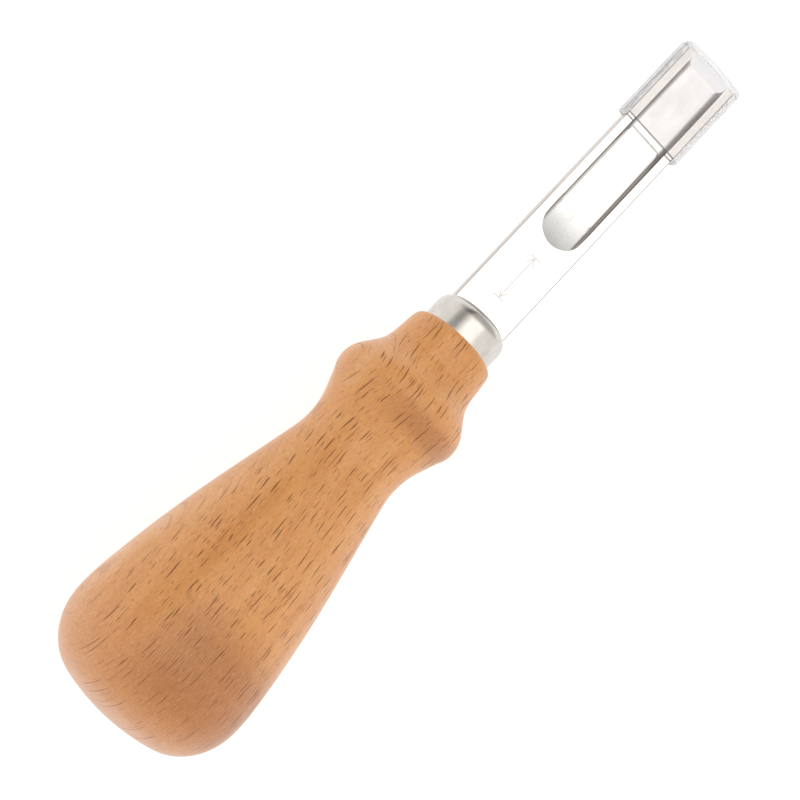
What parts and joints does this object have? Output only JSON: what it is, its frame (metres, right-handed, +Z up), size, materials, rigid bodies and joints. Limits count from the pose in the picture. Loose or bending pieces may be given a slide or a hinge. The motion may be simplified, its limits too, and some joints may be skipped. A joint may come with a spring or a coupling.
{
  "type": "channel cutting tool",
  "caption": "Hand cutter with a turned beech handle, steel cap, flat blade with a ground channel and round run-out, and a clear slide-off tip guard.",
  "frame": {"origin": "on the bench the tool lies on, below the middle of its overall box", "axes": "+X along the tool towards the cutting tip, +Z up from the bench, +Y to the tool's left; the tool leans tip down by 5.0 degrees because it rests on its bulb and its ring"},
  "size_m": [0.1452, 0.0332, 0.0334],
  "materials": {
    "beech": "satin varnish over turned beech",
    "ferrule_steel": "turned and brushed stainless steel",
    "blade_steel": "bright polished blade steel with fine lengthwise grinding lines",
    "guard_plastic": "clear moulded plastic",
    "resin": "hardened amber adhesive"
  },
  "bodies": {
    "cutter": {"handle": "beech", "ferrule": "ferrule_steel", "blade": "blade_steel", "tang_adhesive": "resin"},
    "guard": {"tip_guard": "guard_plastic"}
  },
  "joints": [
    {"name": "guard_slide", "type": "slide", "parent": "cutter", "child": "guard", "axis": [0.9962, 0, -0.0865], "range_m": [0, 0.02]}
  ]
}
